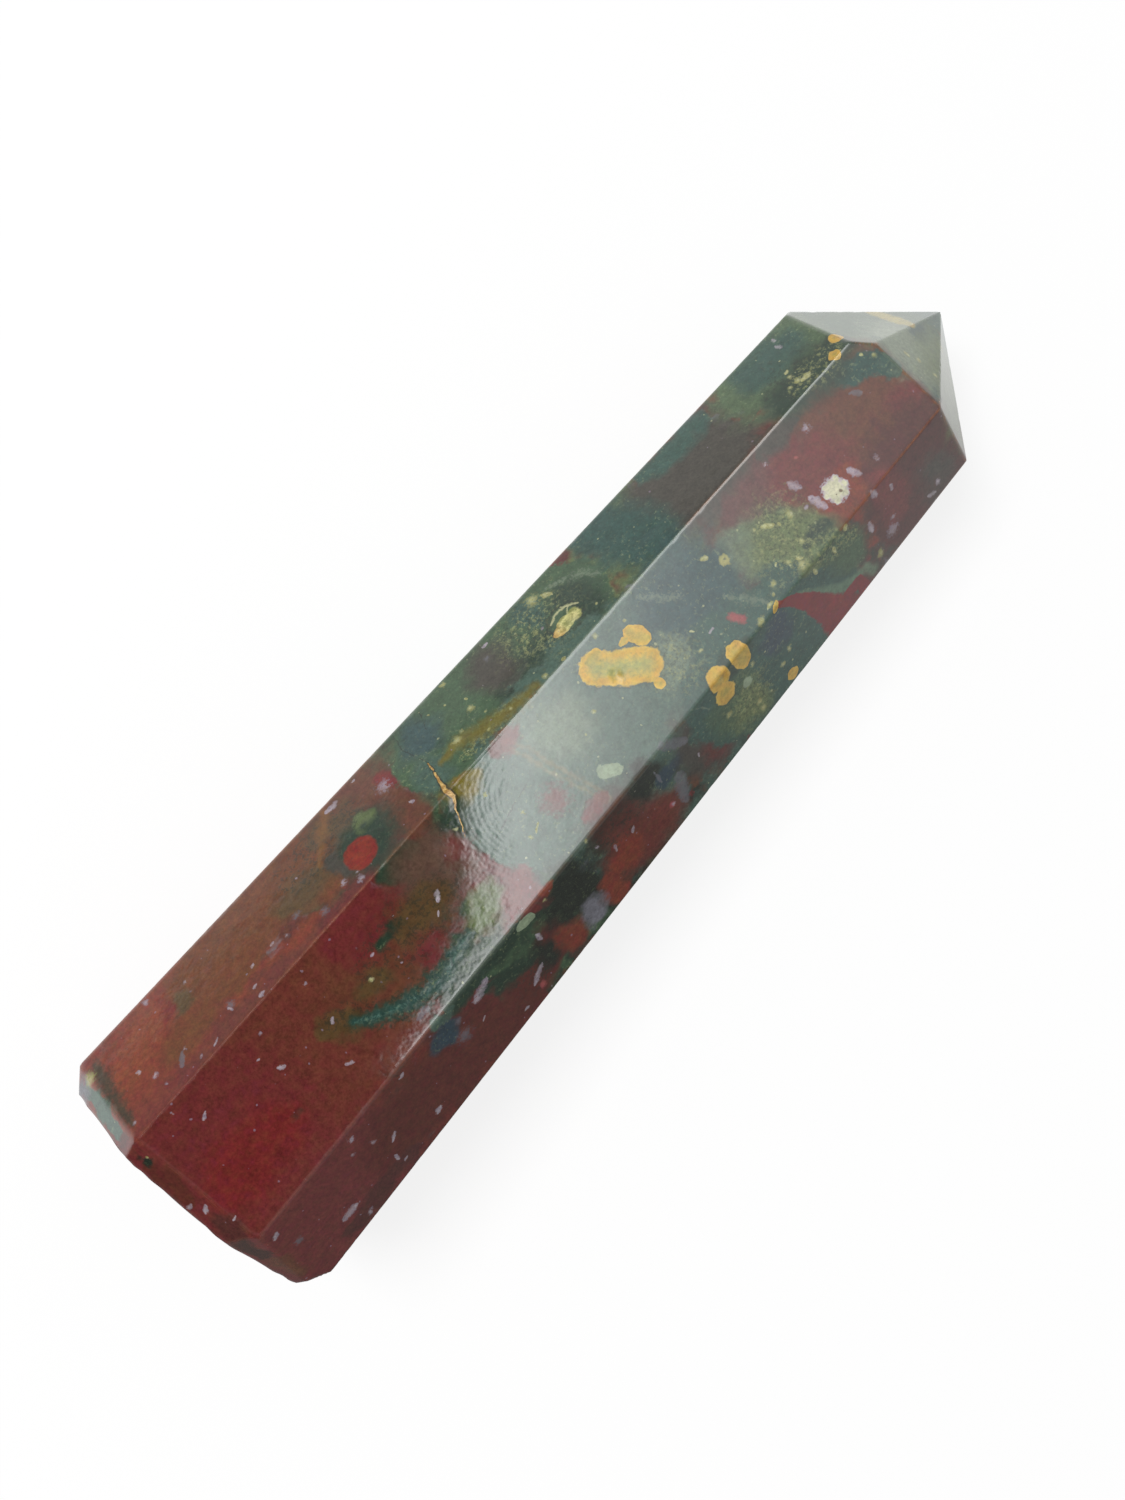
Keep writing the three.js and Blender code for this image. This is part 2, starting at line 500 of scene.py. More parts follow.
def blots(begun, marks):
    """Small marks of one kind, each a place along and round the stone, a half length, a half width
    and, where it is tilted, by how many degrees. Gives how far out a place is in the nearest one,
    as a share of the way to its rim. The roundest are drawn as circles."""
    nearest = far_off if begun.type == "RGBA" else begun
    place = after(begun, mark_spot)
    for along, turn, length, width, *tilt in marks:
        feeds = [("Nearest", nearest), ("Place", place)]
        if roundest[0] < length / width < roundest[1]:
            feeds += [("Middle", on_stone(along, turn)[0] * to_mm), ("Radius", sqrt(length * width))]
            nearest = add(tree, "ShaderNodeGroup", feeds, node_tree=dot).outputs[0]
        else:
            feeds += oval_feeds(along, turn, length, width, *tilt)
            nearest = add(tree, "ShaderNodeGroup", feeds, node_tree=blot).outputs[0]
    return nearest


def lines(begun, *courses):
    """Lines of one kind, each through places along and round the stone with its half width there."""
    for course in courses:
        nearest = far_off if begun.type == "RGBA" else begun
        begun = streaks(vein, after(begun, mark_spot), course, nearest, to_mm)
    return begun


def inside(share, low, high, fray=0.5, by=fine_fray):
    """A mask that is whole inside the low share of a mark, and gone outside the high one."""
    share = number("MULTIPLY_ADD", by, fray, share)
    return ranged(share, high, low, smooth=True)


def laid(colour, mask, over, strength=1.0):
    """The colour with another one laid over it, as far as the mask and this strength say."""
    if strength < 1:
        mask = times(mask, strength)
    return blend(mask, colour, over)


def with_grit(fray):
    """A coarse unevenness with the finest one added."""
    return number("ADD", fray, grit)


def how_green(colour, from_red, to_green):
    """0 where green leads red by less than the first amount, and 1 where by more than the second."""
    channels = add(tree, "ShaderNodeSeparateColor", [("Color", colour)]).outputs
    lead = number("SUBTRACT", channels["Green"], channels["Red"])
    return ranged(lead, from_red, to_green)


def measured(axis):
    """How far a place is from the start of the stone's axis, in millimetres this way."""
    start_at = axis_start.dot(axis) * to_mm
    return number("SUBTRACT", vector("DOT_PRODUCT", spot, axis), start_at)


# The ground runs through the stone as one body: red at the foot, green, mossy brown, then teal,
# with each family breaking far into the next. Its stops are in millimetres along the stone.
along_stone = measured(along_axis)
above_stone = measured(above_axis)
drift_swing, fray_swing = 60.0, 6.0
ramp_start, ramp_end = -4.0, 80.0
drift = number("SUBTRACT", along_stone, drift_swing / 2)
drift = number("MULTIPLY_ADD", noise(zone_spot, 0.11, 4.0, 0.6)["Fac"], drift_swing, drift)
drift = number("MULTIPLY_ADD", wide_fray, fray_swing, drift)
ramp = add(tree, "ShaderNodeValToRGB", [("Fac", ranged(drift, ramp_start, ramp_end))])
stops = [(0, crimson), (13, brick), (18, maroon), (22, crimson), (25, dark_green), (28, green),
         (34, black_green), (38, grey_green), (44, teal_green), (49, moss), (53, red_brown),
         (58, grey_brown), (61, brick), (66, maroon), (69, dark_green), (74, deep_teal),
         (79, grey_green)]
elements = ramp.color_ramp.elements
for where, shade in stops:
    elements.new((where - ramp_start) / (ramp_end - ramp_start)).color = shade
elements.remove(elements[0])
elements.remove(elements[-1])
colour = ramp.outputs["Color"]
clouds = noise(mark_spot, 0.33, 4.0, 0.62)["Fac"]
colour = laid(colour, ranged(clouds, 0.56, 0.66, 0.0, 0.8), dark_green)
colour = laid(colour, ranged(clouds, 0.40, 0.30, 0.0, 0.7), umber)
clouds = noise(zone_spot, 0.42, 3.0, 0.6)["Fac"]
colour = laid(colour, ranged(clouds, 0.62, 0.70, 0.0, 0.75), grey_lavender)
colour = laid(colour, ranged(clouds, 0.34, 0.27, 0.0, 0.8), bright_crimson)

# The upper left flat
colour = zones(colour, [
    (5, 47, 8, 5.2, brick, 0.3), (3.2, 51, 2.6, 1.6, orange_brick, 0.6, 20),
    (13, 56, 6.5, 3, umber, 0.5), (8.5, 38, 4.6, 1.7, umber, 0.6), (12, 30, 6, 1, brick, 0.6),
    (7.3, 52, 0.7, 0.8, olive_brown, 0.6), (6.2, 55, 1.3, 0.45, bright_crimson, 0.6, 80),
    (18.6, 52, 3.2, 4, umber, 0.5), (17.8, 45, 2.4, 1.6, olive_brown, 0.6),
    (21.4, 60, 1.6, 1, olive_brown, 0.6, 30), (24.6, 57, 3, 3, brown, 0.4),
    (22.4, 52, 1.5, 1.8, olive_brown, 0.55), (27.1, 51.5, 0.8, 1.2, bright_crimson, 0.45),
    (26, 36, 1.8, 2.4, brown, 0.4), (22.9, 38, 2.5, 2.3, dark_green, 0.4),
    (23.5, 46.5, 0.9, 0.7, moss, 0.5), (20.6, 40, 0.6, 1.2, grey_brown, 0.5),
    (37, 46, 9.8, 6, green, 0.06), (30.2, 55, 1.5, 1.8, slate, 0.6),
    (28.9, 36, 1.2, 1.6, grey_green, 0.5), (38.5, 38, 3.5, 1.8, dark_green, 0.6),
    (36.9, 52, 1.9, 2.2, grey_brown, 0.5), (41.2, 57, 1.1, 1.5, teal_green, 0.6),
    (44, 41, 1.8, 2.4, dark_green, 0.5), (54.8, 41, 5.6, 4, grey_brown, 0.3),
    (49.3, 50, 2.6, 4.4, deep_teal, 0.45, 20), (56.5, 62, 3.5, 1.2, teal_green, 0.6),
    (66.2, 46, 6.4, 5, leaf_green, 0.3, -35), (65.4, 57, 3, 2, teal_green, 0.56)])
# The top flat
colour = zones(colour, [
    (9, 2, 12, 5.6, brick_brown, 0.15), (2.6, -1, 6.2, 5.6, crimson, 0.35),
    (3.5, -8, 4, 2.4, bright_crimson, 0.6), (17.4, 1, 4, 3.4, brown, 0.5),
    (13.2, -2, 1.6, 0.9, olive_brown, 0.55, -30), (16.6, -1, 1.3, 0.9, olive_brown, 0.55),
    (7, -10, 0.5, 0.4, maroon, 0.6), (18.6, 17, 3.2, 1.8, crimson, 0.56),
    (23.3, 21, 2, 1.1, dark_green, 0.4, -12), (24.4, 11, 2.9, 2.4, taupe, 0.5),
    (21.6, 3, 2.4, 1.5, olive_brown, 0.55), (19.3, 8, 0.9, 0.6, dark_green, 0.55),
    (20.5, -8, 1.3, 1.2, crimson, 0.5), (38.5, -1, 11.6, 6, grey_green, 0.08),
    (29.6, 22, 1.6, 0.9, mustard, 0.6), (27.9, 15, 1, 1.4, dark_green, 0.5),
    (24.5, -13, 1.7, 1.1, moss, 0.56, 20), (48.8, 3, 4.6, 3.8, slate, 0.4),
    (44.7, -7, 1.6, 1.3, moss_grey, 0.55, 30), (36.5, 9, 2.4, 2, moss_grey, 0.55),
    (55.5, -10, 3.7, 2.5, moss_grey, 0.55, -50), (56.2, -13, 3.4, 2.4, moss, 0.56, -45),
    (53.6, -21, 3, 0.8, dark_green, 0.56, -12), (57.6, -20, 1.6, 0.7, dark_green, 0.56, -20),
    (66, 0, 4.6, 5.2, brown, 0.2), (57.4, 14, 3.6, 1.4, ash_rose, 0.56),
    (60.8, 1, 3.2, 2.2, rose_maroon, 0.55, -35), (61.3, -17, 2.4, 1.5, brick, 0.35),
    (60.6, 21, 2.2, 0.8, grey_brown, 0.5), (68.9, -12, 1.3, 1.2, rose_maroon, 0.55, -45),
    (68.3, 15, 2.8, 1, deep_teal, 0.25, -42), (65.6, 31, 4, 1.9, dark_green, 0.45)])
# The lower right flat
colour = zones(colour, [
    (5, -45, 8, 5, rose_maroon, 0.3), (14, -49, 7, 4, red_brown, 0.5), (6, -61, 4, 1, maroon, 0.5),
    (16.8, -33, 1.3, 0.9, navy, 0.5), (21.4, -26, 4.2, 0.9, dark_green, 0.45),
    (17.6, -27, 0.9, 0.5, grey_green, 0.6), (21, -56, 5.2, 2.2, red_brown, 0.4),
    (22.4, -41, 2.4, 1, dark_green, 0.5, -25), (25.2, -49, 1.3, 1.9, black_green, 0.5),
    (26.2, -43, 1.2, 1, red_brown, 0.6), (29.3, -40, 2.7, 2.8, black_green, 0.3),
    (28.2, -25.5, 0.9, 0.5, brick, 0.4), (27, -56, 1.2, 1.7, brick, 0.5, 20),
    (31.3, -58, 1.2, 1.8, brick, 0.4), (29.2, -58, 1.05, 1.3, grey_lavender, 0.4),
    (34.4, -31, 2.3, 2, dark_brown, 0.5), (35.4, -51, 3.6, 2.7, brick_brown, 0.5, -20),
    (33.4, -50, 1.6, 1.2, brick, 0.55, -20), (37.6, -30, 1.7, 1.5, black_green, 0.3),
    (39.6, -38, 1.5, 0.7, navy, 0.5), (42.5, -43, 2.6, 3.2, grey_brown, 0.4),
    (43.4, -52, 1.5, 1.4, red_brown, 0.5), (50.5, -45, 8.6, 5.5, teal_green, 0.12, -15),
    (45.6, -42, 1.8, 2.4, green, 0.5, -50), (46.6, -54, 1.7, 1.9, moss, 0.5, -50),
    (47, -27, 2.4, 0.8, dark_green, 0.5), (51.2, -35, 1.4, 1.9, navy, 0.4, -60),
    (56.8, -27, 2.4, 0.9, moss, 0.5, -30), (58.4, -37, 2.6, 1.6, green, 0.5, -50),
    (66.2, -46, 5.4, 5, maroon, 0.13), (63.5, -38, 1.5, 2.6, rose_maroon, 0.5),
    (67.5, -55, 1.6, 1.6, grey_brown, 0.5)])
# The bevel and the point
colour = zones(colour, [
    (-1.1, 46, 0.9, 3.2, grey_green, 0.2), (-1.2, 29, 0.8, 0.6, maroon, 0.5),
    (-1.4, 63, 0.8, 0.8, grey_lavender, 0.5), (-1.1, 8, 0.9, 2.6, red_brown, 0.4),
    (-0.9, 19.5, 0.6, 0.9, black_green, 0.3), (-0.9, -18, 0.8, 1.2, maroon, 0.5),
    (-1.1, -31, 0.9, 1.8, dark_brown, 0.4), (-1, -48, 0.9, 1.6, brown, 0.5),
    (73, 45, 4.5, 3.6, green, 0.3), (72.6, 0, 3.4, 3.6, point_green, 0.3),
    (74.5, 4, 1.2, 1, slate, 0.5), (73, -45, 4, 3.6, moss, 0.4)])

# A dark green seam along the first edge of the bevel
selvage = lines(colour, [(0.5, 60, 0.6), (0.2, 46, 0.75), (0.1, 31, 0.35)])
colour = laid(colour, inside(selvage, 0.0, 1.5, 1.8), dark_green, 0.75)

# Crumbs of pale yellow moss in the green
moss_beds = blots(colour, [
    (56, -9, 3.8, 2.6, -45), (57.8, -28, 2.6, 1.2, -30), (44.8, -8, 2.6, 2, 30), (46.8, -50, 2.2, 3),
    (66.2, 31, 2.6, 1.4), (33.5, 30, 3, 0.8), (41, 50, 4, 3), (60, 118, 8, 4, 20), (36, 166, 9, 4),
    (48, -110, 8, 4, -20)])
crumbs = noise(spot, 3.0, 4.0, 0.78)["Fac"]
bed = inside(moss_beds, 0.3, 1.3, 1.4, wide_fray)
crumbs = times(ranged(crumbs, 0.5, 0.62), bed)
bed = inside(moss_beds, 0.3, 1.2, 1.4, wide_fray)
gaps = times(ranged(grit, 0.0, -0.12, 0.0, 0.5), bed)
colour = laid(colour, gaps, dark_green)
colour = laid(colour, crumbs, paint(146, 150, 98), 0.66)

# Dark green specks in the red and the brown
dark_beds = blots(colour, [
    (20.4, 3, 5, 2.6), (14, -2, 2.4, 1.3, -30), (27, 20, 1.8, 1.2), (23.6, 34, 2.4, 1.6),
    (20.5, 54, 4.5, 2.6), (24, -50, 4, 3), (34, -35, 3.4, 2), (64.5, 40, 4, 3, -35),
    (18, 150, 8, 4, 20), (26, 250, 7, 4, -20)])
bed = inside(dark_beds, 0.2, 1.3, 1.4, wide_fray)
specks = times(ranged(with_grit(fine_fray), 0.02, 0.16), bed)
colour = laid(colour, specks, black_green, 0.6)

# The teal vein of the top flat, in its dark selvage
flow = lines(colour, [
    (13.8, -4, 0.35), (15, -9, 0.48), (16.2, -12.5, 0.62), (18, -16.5, 0.75), (19.6, -18, 0.72),
    (21, -16, 0.55), (22.8, -15, 0.3)])
colour = laid(colour, inside(flow, 0.6, 1.8, 3.0), dark_green, 0.85)
shade = blend(ranged(with_grit(fine_fray), -0.05, 0.3), teal, pale_teal)
colour = laid(colour, inside(flow, -0.2, 1.3, 3.4), shade, 0.8)

# The red jasper wedge of the lower right flat, in its green rim
rim = lines(colour, [
    (53.9, -31, 0.25), (55.2, -41, 0.4), (56.7, -52, 0.5), (57.9, -56, 0.45), (59.1, -57, 0.4),
    (59.6, -63, 0.45)])
colour = laid(colour, inside(rim, 0.3, 1.5, 0.8), pale_green, 0.75)
wedge = lines(
    colour,
    [(52.2, -24.5, 0.2), (53.4, -31, 0.5), (54.3, -40, 0.75), (55, -52, 1.1), (56, -70, 2)],
    [(56.9, -59.5, 0.5), (58.3, -59.5, 0.45), (58.3, -70, 0.75)])
streaky = ranged(with_grit(wide_fray), -0.2, 0.2)
shade = blend(streaky, paint(128, 34, 36), paint(108, 34, 38))
colour = laid(colour, inside(wedge, 0.85, 1.1, 0.35), shade)

# The healed crack and the finer veins
tan_vein = lines(colour, [
    (33.5, 21, 0.3), (34, 12, 0.36), (34.2, 2, 0.34), (34.6, -8, 0.36), (35.1, -22, 0.3)])
tan_vein = number("ABSOLUTE", number("SUBTRACT", tan_vein, 0.7))
colour = laid(colour, inside(tan_vein, -0.2, 0.9, 2.0), paint(150, 128, 84), 0.34)
band = lines(colour, [
    (29.9, 37, 0.3), (31.6, 37.5, 0.7), (33.4, 32.5, 0.85), (35, 29, 0.8), (37.5, 27.5, 0.5)])
colour = laid(colour, inside(band, -0.1, 1.5, 1.6), mustard, 0.85)
wisps = lines(
    colour,
    [(46.4, 21, 0.2), (47.2, 15.5, 0.4), (48.3, 8.5, 0.3)],
    [(43.4, 60, 0.2), (44.7, 56, 0.4), (45.7, 51, 0.5), (46.3, 43, 0.2)],
    [(50.3, -6, 0.2), (50.9, -12, 0.4), (51.6, -18, 0.45), (52, -22, 0.2)],
    [(43.1, -25, 0.1), (43.8, -29, 0.1), (44.1, -33, 0.1)])
colour = laid(colour, inside(wisps, -0.6, 1.2, 5.0, grit), paint(132, 146, 124), 0.55)
amber = lines(colour, [(19.6, 47, 0.15), (20.2, 51, 0.3), (21.2, 57, 0.5), (22.4, 64, 0.5)])
colour = laid(colour, inside(amber, -0.1, 1.6, 1.8), paint(136, 88, 36), 0.5)
hairlines = lines(
    colour,
    [(29.3, 66, 0.03), (28.9, 58, 0.05), (29.1, 50, 0.03), (29.35, 42, 0.04)],
    [(31.7, 68, 0.05), (31.4, 61, 0.035), (31, 56, 0.03), (30.9, 47, 0.02)],
    [(28.4, 0.5, 0.04), (30.3, 3.2, 0.05), (32.6, 5.6, 0.03)])
colour = laid(colour, inside(hairlines, 0.6, 1.6, 0.6), black_green, 0.6)
seam = lines(colour, crack)
colour = laid(colour, inside(seam, 1.1, 2.0, 1.2), black_green, 0.8)
seam_fill = inside(seam, 0.6, 1.1, 1.0)
shade = blend(ranged(grit, -0.1, 0.12), paint(168, 126, 60), paint(206, 172, 104))
colour = laid(colour, seam_fill, shade)

# The outlined oval of the upper left flat
oval = blots(colour, [(42.35, 40.5, 1.45, 1.3, 35)])
colour = laid(colour, inside(oval, 0.85, 1.15, 0.9), black_green, 0.6)
colour = laid(colour, inside(oval, 0.6, 0.95, 0.9), green)
threads = lines(
    colour,
    [(41.5, 43.5, 0.06), (42.2, 46, 0.1), (43.1, 45, 0.1), (43.8, 41, 0.06)],
    [(42.7, 41, 0.05), (43.2, 44, 0.08), (42.9, 46.5, 0.05)])
colour = laid(colour, inside(threads, 0.2, 1.7, 2.5, grit), cream, 0.75)
yolk = blots(colour, [(42, 37.7, 1.1, 0.52, 6), (43, 38.3, 0.65, 0.5, 30), (42.2, 40, 0.6, 0.35)])
shade = blend(ranged(fine_fray, -0.12, 0.12), paint(146, 148, 84), paint(206, 200, 134))
shade = blend(ranged(along_stone, 42.0, 41.1, 0.0, 0.7), shade, paint(204, 150, 84))
colour = laid(colour, inside(yolk, 0.75, 1.15, 0.8, grit), shade)

# Blushes of red in the green, and bright red spots
blush = blots(colour, [
    (33.5, 22, 1.3, 0.8), (32.8, -7.5, 1.2, 0.8, -20), (27, -17.5, 1.6, 0.9, 20),
    (34.2, -20.5, 1.3, 0.6), (26.4, 9, 0.8, 1.2)])
colour = laid(colour, inside(blush, 0.1, 1.5, 2.6), rose_maroon, 0.8)
reds = blots(colour, [(22.05, 36.3, 1.1, 1.5)])
colour = laid(colour, inside(reds, 0.88, 1.08, 0.3), blood_red)
pinks = blots(colour, [
    (49.6, -14.6, 0.3, 0.42, 20), (49.75, -16.3, 0.34, 0.34), (49.95, -18, 0.34, 0.4),
    (23.3, -60.5, 0.4, 0.3), (60.6, 10.3, 0.15, 0.15), (38, -54, 0.35, 0.3)])
colour = laid(colour, inside(pinks, 0.4, 1.25, 1.4, grit), rose)

# Grey lavender and dusky marks
dusky = blots(colour, [
    (17.5, -42.5, 0.65, 0.6), (0.9, -42, 0.3, 0.35), (39.3, -52, 0.6, 1.6, -15),
    (40.7, -29.2, 1.4, 0.5, -48), (5, 33, 0.65, 0.26, 55), (16.4, 39, 0.35, 0.25), (17.8, 30, 0.4, 0.3),
    (37.2, 57.5, 0.22, 0.3), (18, -34, 0.3, 0.28), (38.5, -35, 0.15, 0.75), (9.5, 33.5, 0.25, 0.35),
    (66.7, 9, 0.5, 0.22, -45), (17, -20, 0.6, 0.3), (52, 146, 0.9, 0.5, 30), (20, 199, 1, 0.6, -20),
    (33, 244, 0.8, 0.5, 50)])
colour = laid(colour, inside(dusky, 0.0, 1.4, 3.0, grit), grey_lavender, 0.65)

# Lilac and white flecks, most of them in the red
flecks = [
    (2.4, 43.6, 0.27, 0.14, -40), (3.1, 37.3, 0.24, 0.2), (3.4, 31, 0.12, 0.1), (5.6, 35.5, 0.1, 0.14),
    (6, 27.6, 0.12, 0.1), (7.3, 27.2, 0.26, 0.12, 30), (9.3, 32, 0.28, 0.12, -70),
    (11.4, 26.3, 0.28, 0.16), (12.15, 38.3, 0.22, 0.12, 30), (14, 38.3, 0.22, 0.12, 20),
    (15.05, 36, 0.12, 0.1), (5.6, 64.3, 0.25, 0.2), (0.3, 29.8, 0.13, 0.13), (11.4, 30.6, 0.22, 0.14),
    (23, 63.4, 0.62, 0.26), (26.25, 51, 0.55, 0.4), (19.9, 32.6, 0.27, 0.18, -50),
    (20.85, 28, 0.3, 0.22, -60), (21, 31.4, 0.12, 0.16), (25.2, 64.6, 0.3, 0.12),
    (26.7, 34.8, 0.28, 0.12, -50), (37.8, 63.2, 0.3, 0.14, -20), (66.6, 57.5, 0.18, 0.3),
    (66.9, 62.5, 0.15, 0.25), (18.1, 52, 0.1, 0.1), (8.3, 57, 0.15, 0.12), (41, 46, 0.1, 0.1),
    (3.5, 14, 0.35, 0.13, 35), (8.8, 5.3, 0.3, 0.15, -35), (13, 2.3, 0.26, 0.14, 30),
    (-0.1, -15.5, 0.22, 0.1, 20), (-0.9, -7.5, 0.42, 0.2, 28), (-1.5, -2.8, 0.3, 0.17),
    (11.7, -12, 0.4, 0.13, -35), (23.2, 3.2, 0.48, 0.2, 48), (22.4, -1.3, 0.2, 0.08, 40),
    (59.05, 2.3, 0.3, 0.52, 25), (59.3, -11, 0.3, 0.75, 12), (62.5, -14.5, 0.28, 0.58, 28),
    (58.5, -8.3, 0.22, 0.14), (58.8, 18.5, 0.2, 0.14), (64.3, -18, 0.2, 0.15), (62.6, 15.5, 0.28, 0.25),
    (48, -11.3, 0.3, 0.1), (2.3, 22, 0.1, 0.08), (9.5, 18, 0.1, 0.07), (13.6, 18, 0.12, 0.1),
    (8.2, 13, 0.12, 0.07), (17.7, 7, 0.16, 0.1), (20.4, 10.6, 0.12, 0.06), (18.6, -3, 0.1, 0.06),
    (0.5, -30.6, 0.36, 0.2, 30), (4, -54.5, 0.75, 0.36), (12.65, -58, 0.42, 0.24, 22),
    (8.05, -29.5, 0.18, 0.28), (7.3, -35, 0.16, 0.12), (13.1, -28.7, 0.3, 0.14, 28),
    (8.6, -39.6, 0.2, 0.18), (9.6, -47, 0.5, 0.17, 38), (8.6, -56, 0.16, 0.4),
    (8.8, -60.8, 0.25, 0.12, 20), (4.7, -63.5, 0.2, 0.25), (20.4, -33, 1, 0.4, 22),
    (19.1, -45, 0.24, 0.1, 40), (25.5, -39.6, 0.2, 0.5), (23.6, -54.4, 0.95, 0.26, 34),
    (21.4, -62, 0.3, 0.14), (32.3, -33, 0.13, 0.2), (33.2, -42.5, 0.14, 0.36, -15),
    (34.9, -43.5, 0.35, 0.14, 50), (38.1, -54.5, 0.18, 0.2), (41.6, -47, 0.12, 0.25),
    (61, -41, 0.28, 0.55), (62.4, -55.6, 0.55, 0.42), (62.4, -27.5, 0.26, 0.5, 20),
    (66.3, -62, 0.5, 0.25, -30), (63.8, -34, 0.18, 0.3), (67.2, -60, 0.3, 0.2), (62.9, -49.5, 0.2, 0.2)]
fleck = inside(blots(colour, flecks), 0.0, 1.45, 4.0, grit)
shade = blend(ranged(grit, -0.2, 0.3), lilac, white)
lilac_mask = times(fleck, ranged(wide_fray, -0.15, 0.1, 0.5, 0.9))
colour = laid(colour, lilac_mask, shade)

# The white flower with its scalloped rim, cream heart and dark eye
flower = blots(colour, [
    (60.75, -13.3, 0.8, 1.02), (60.35, -9.8, 0.26, 0.3), (61.3, -9.9, 0.3, 0.3),
    (61.5, -14.5, 0.24, 0.3), (61.1, -17.6, 0.3, 0.26), (60.3, -17.4, 0.3, 0.28),
    (60, -12.6, 0.22, 0.3)])
colour = laid(colour, inside(flower, 0.85, 1.15, 1.0, grit), paint(184, 172, 182))
colour = laid(colour, inside(flower, 0.55, 1.0, 0.9, grit), paint(204, 202, 172))
eye = blots(colour, [(60.95, -15.2, 0.13, 0.11), (60.5, -14.6, 0.07, 0.06)])
colour = laid(colour, inside(eye, 0.7, 1.3, 0.8), olive_brown, 0.85)

# Cream and yellow-green flecks, most of them in the green
grains = [
    (31.6, 38.9, 0.34, 0.3), (33.85, 45.2, 0.3, 0.25), (34, 65, 0.25, 0.25), (33.5, 30.4, 0.12, 0.16),
    (35.45, 29.3, 0.15, 0.15), (38.5, 27.4, 0.25, 0.2), (40.15, 26.5, 0.25, 0.15),
    (31.8, 60, 0.1, 0.12), (33, 57, 0.1, 0.1), (34.2, 51, 0.1, 0.2), (34.3, 38, 0.1, 0.1),
    (32.3, 40.5, 0.14, 0.18), (42.2, 61.5, 0.45, 0.5), (43.1, 57.5, 0.5, 0.22, -55),
    (64.9, 33.5, 0.3, 0.28), (65.4, 31.5, 0.5, 0.3), (64.9, 38.5, 0.16, 0.2),
    (65.1, 42, 0.24, 0.14, 30), (64.2, 34, 0.14, 0.2), (65.5, 30.5, 0.2, 0.12), (44.4, 33, 0.1, 0.12),
    (-0.3, 59, 0.55, 0.46, 20), (27.2, 14.4, 0.16, 0.14), (30.1, 14.5, 0.2, 0.16),
    (30.8, -0.7, 0.17, 0.16), (30.7, -9, 0.42, 0.1, 30), (29.9, -9.7, 0.14, 0.14),
    (38.8, 4, 0.17, 0.15), (47.1, -5.5, 0.25, 0.08, -50), (46.5, -13.5, 0.12, 0.12),
    (51.3, 11, 0.32, 0.2, -30), (55, 3, 0.16, 0.16), (56.4, -4, 0.1, 0.18), (57.4, -5, 0.3, 0.25),
    (54.2, -14.5, 0.2, 0.12, 30), (53.1, -18.6, 0.3, 0.2, -30), (51.9, -22.8, 0.34, 0.16, 10),
    (54.9, -17.6, 0.16, 0.2), (55.6, -20.2, 0.3, 0.14, -40), (56.6, -16.6, 0.18, 0.14),
    (52.6, -20.9, 0.14, 0.2), (55.8, -0.5, 0.5, 0.2, -40), (16.5, 1.5, 0.2, 0.2),
    (71.7, 2.5, 0.2, 0.32), (72.1, -6.5, 0.2, 0.3), (72.1, -21, 0.2, 0.2), (69.5, 14.6, 0.16, 0.16),
    (68.9, 19, 0.2, 0.12, -40), (42.6, 23.3, 0.2, 0.18), (-0.75, 19.2, 0.12, 0.12),
    (37.3, 0.5, 0.1, 0.1), (44.7, 18.7, 0.14, 0.1), (27.5, -28.5, 0.14, 0.16), (32.1, -26, 0.2, 0.15),
    (48.4, -36.6, 0.2, 0.25), (47.3, -57, 0.25, 0.26), (47.2, -62, 0.28, 0.24),
    (50.2, -53.6, 0.24, 0.18), (51.2, -50, 0.24, 0.22, -40), (50.7, -24.2, 0.32, 0.3),
    (55.8, -30, 0.2, 0.36), (57.8, -30.8, 0.16, 0.36), (59.3, -27, 0.18, 0.3),
    (60.7, -59.6, 0.3, 0.36, 20), (55.4, -22.7, 0.4, 0.26), (48.4, -59, 0.14, 0.14),
    (45, -46, 0.2, 0.3, 20), (75, -30, 0.3, 0.3)]
shade = blend(ranged(grit, -0.12, 0.12), paint(160, 158, 92), cream)
cream_mask = times(inside(blots(colour, grains), 0.1, 1.4, 3.0, grit), 0.8)
colour = laid(colour, cream_mask, shade)
hollow = blots(colour, [(52.1, 4.2, 0.3, 0.44, 20)])
colour = laid(colour, inside(hollow, 0.7, 1.3, 1.6, grit), paint(176, 170, 104), 0.75)
colour = laid(colour, inside(hollow, 0.0, 0.45, 0.8, grit), slate, 0.7)
pebble = lines(colour, [(36.3, -14.8, 0.5), (36.95, -18.2, 0.42)])
pebble = blots(pebble, [(25.6, -28, 0.8, 0.42, -10), (47.4, -41.6, 0.5, 0.38)])
colour = laid(colour, inside(pebble, 0.85, 1.1, 0.8, grit), paint(136, 152, 124))

